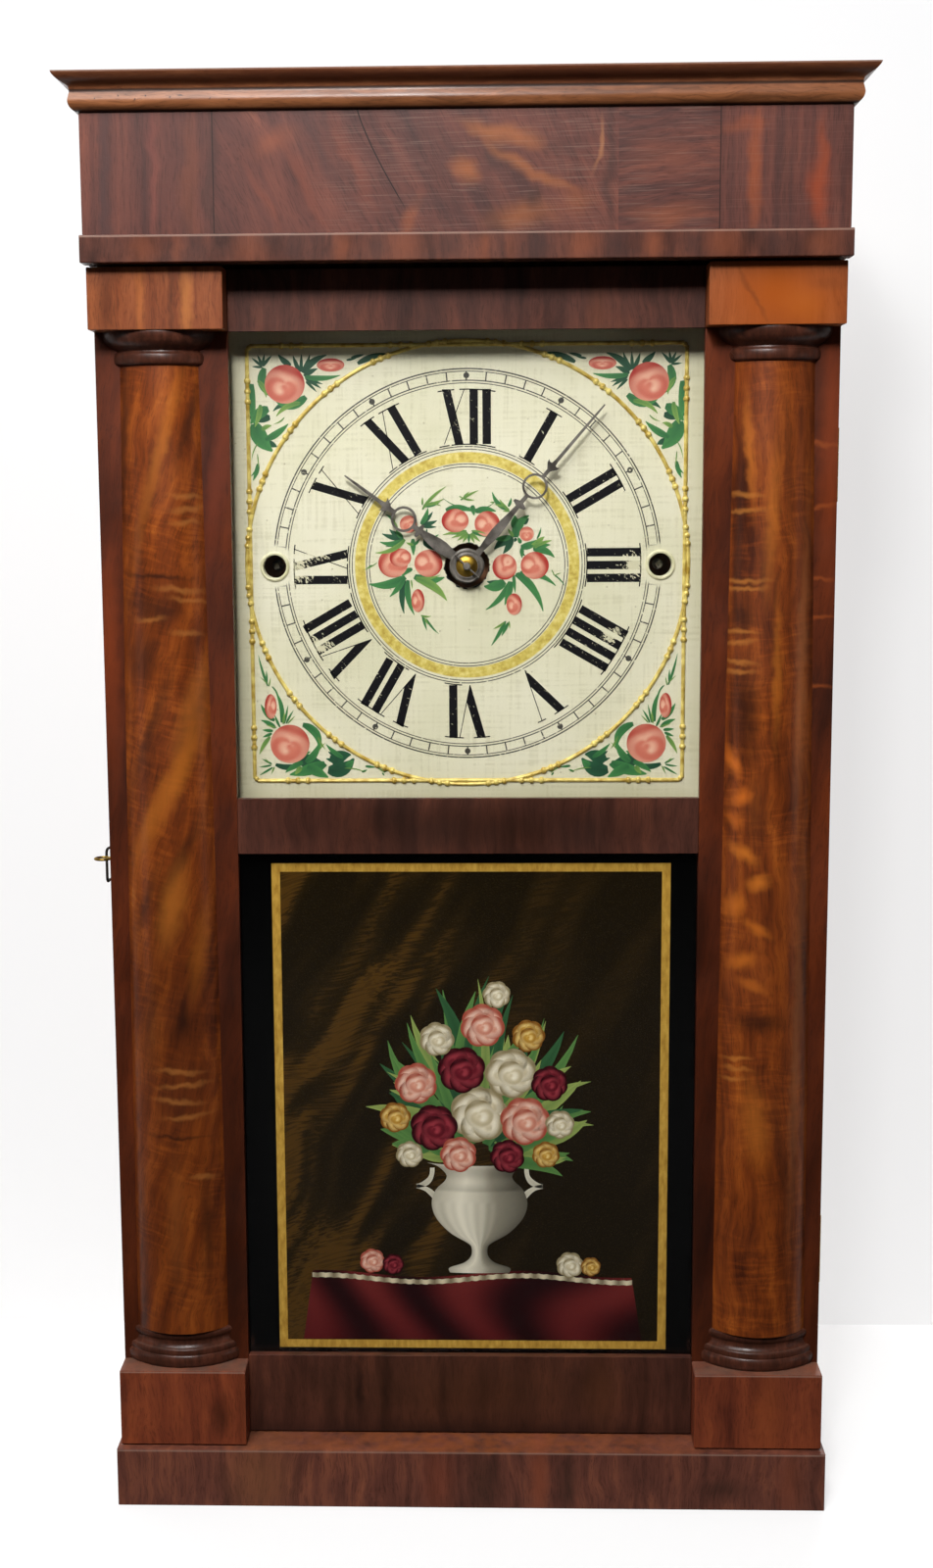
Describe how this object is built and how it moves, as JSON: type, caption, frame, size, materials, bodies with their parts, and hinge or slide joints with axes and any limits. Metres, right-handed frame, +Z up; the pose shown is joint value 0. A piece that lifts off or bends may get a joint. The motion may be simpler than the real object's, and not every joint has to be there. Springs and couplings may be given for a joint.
{
  "type": "ogee shelf clock",
  "caption": "Column-and-cornice shelf clock with an ogee crown, a hinged door with dial glass and painted tablet, turning hands, falling weights and a hidden pendulum.",
  "frame": {"origin": "centre of the clock's footprint, on the shelf under the base slab", "axes": "+X to the right as the dial is read, +Y to the back (the dial faces -Y), +Z up"},
  "size_m": [0.4236, 0.1358, 0.7902],
  "materials": {
    "mahogany": "polished red-brown mahogany veneer",
    "crotch": "polished flame-figured crotch mahogany veneer",
    "turned": "dark red-brown turned and polished hardwood",
    "pine": "bare planed softwood",
    "cherry": "bare planed and turned hardwood",
    "dial": "cream painted board with black numerals, painted flowers and gilt raised borders, finely crackled",
    "glass": "clear thin old window glass",
    "tablet": "glass painted on its back, opaque, with a gilt border and a black margin",
    "brass": "aged brass",
    "steel": "darkened steel and iron wire",
    "iron": "black cast iron",
    "cord": "twisted flax cord"
  },
  "bodies": {
    "case": {"base_slab": "mahogany", "side_board_left": "mahogany", "side_board_right": "mahogany", "back_board": "pine", "roof_board": "pine", "frieze_board": "crotch", "frieze_band": "mahogany", "cornice_front": "mahogany", "cornice_left": "mahogany", "cornice_right": "mahogany", "dial_board": "dial", "dial_cleat_left": "pine", "dial_cleat_right": "pine", "hinge_leaf_case_lower": "brass", "hinge_leaf_case_upper": "brass", "movement_front_plate": "cherry", "movement_back_plate": "cherry", "movement_pillar_1": "cherry", "movement_pillar_2": "cherry", "movement_pillar_3": "cherry", "movement_pillar_4": "cherry", "time_weight_cord": "cord", "strike_weight_cord": "cord"},
    "door": {"door_stile_left": "mahogany", "door_stile_right": "mahogany", "door_rail_bottom": "mahogany", "door_rail_middle": "mahogany", "door_rail_top": "mahogany", "dial_glass": "glass", "tablet_glass": "tablet", "plinth_left": "mahogany", "plinth_right": "mahogany", "column_base_left": "turned", "column_base_right": "turned", "column_left": "crotch", "column_right": "crotch", "capital_left": "turned", "capital_right": "turned", "abacus_left": "mahogany", "abacus_right": "mahogany", "hinge_leaf_door_lower": "brass", "hinge_leaf_door_upper": "brass", "latch_eye": "brass"},
    "hook": {"latch_hook": "steel"},
    "minute": {"minute_hand": "steel", "hand_collet": "brass", "taper_pin": "steel", "centre_arbor": "steel"},
    "hour": {"hour_hand": "steel", "hour_pipe": "brass"},
    "time_winding": {"time_barrel": "cherry", "time_winding_arbor": "steel"},
    "strike_winding": {"strike_barrel": "cherry", "strike_winding_arbor": "steel"},
    "time_drive": {"time_weight": "iron"},
    "strike_drive": {"strike_weight": "iron"},
    "pendulum": {"pendulum_rod": "steel", "pendulum_bob": "brass"}
  },
  "joints": [
    {"name": "door_swing", "type": "hinge", "parent": "case", "child": "door", "pos_m": [0.2019, -0.0129, 0.364], "axis": [0, 0, 1], "range_deg": [0, 110]},
    {"name": "hook_turn", "type": "hinge", "parent": "case", "child": "hook", "pos_m": [-0.2069, -0.007, 0.3757], "axis": [1, 0, 0], "range_deg": [-60, 270]},
    {"name": "minute_turn", "type": "hinge", "parent": "case", "child": "minute", "pos_m": [0, -0.017, 0.535], "axis": [0, 1, 0], "continuous": true},
    {"name": "hour_turn", "type": "hinge", "parent": "case", "child": "hour", "pos_m": [0, -0.014, 0.535], "axis": [0, 1, 0], "continuous": true},
    {"name": "time_fall", "type": "slide", "parent": "case", "child": "time_drive", "axis": [0, 0, 1], "range_m": [-0.215, 0.02], "deforming": ["time_weight_cord"]},
    {"name": "strike_fall", "type": "slide", "parent": "case", "child": "strike_drive", "axis": [0, 0, 1], "range_m": [-0.215, 0.02], "deforming": ["strike_weight_cord"]},
    {"name": "time_barrel_turn", "type": "hinge", "parent": "case", "child": "time_winding", "pos_m": [0.10715, 0.034, 0.535], "axis": [0, 1, 0], "range_deg": [-60, 640]},
    {"name": "strike_barrel_turn", "type": "hinge", "parent": "case", "child": "strike_winding", "pos_m": [-0.10715, 0.034, 0.535], "axis": [0, 1, 0], "range_deg": [-640, 60]},
    {"name": "pendulum_swing", "type": "hinge", "parent": "case", "child": "pendulum", "pos_m": [-0.032, 0.002, 0.606], "axis": [0, 1, 0], "range_deg": [-5, 5]}
  ],
  "couplings": [
    {"joint": "hour_turn", "follows": "minute_turn", "ratio": 0.083333},
    {"joint": "time_barrel_turn", "follows": "time_fall", "rad_per_m": -50.89},
    {"joint": "strike_barrel_turn", "follows": "strike_fall", "rad_per_m": 50.89}
  ]
}
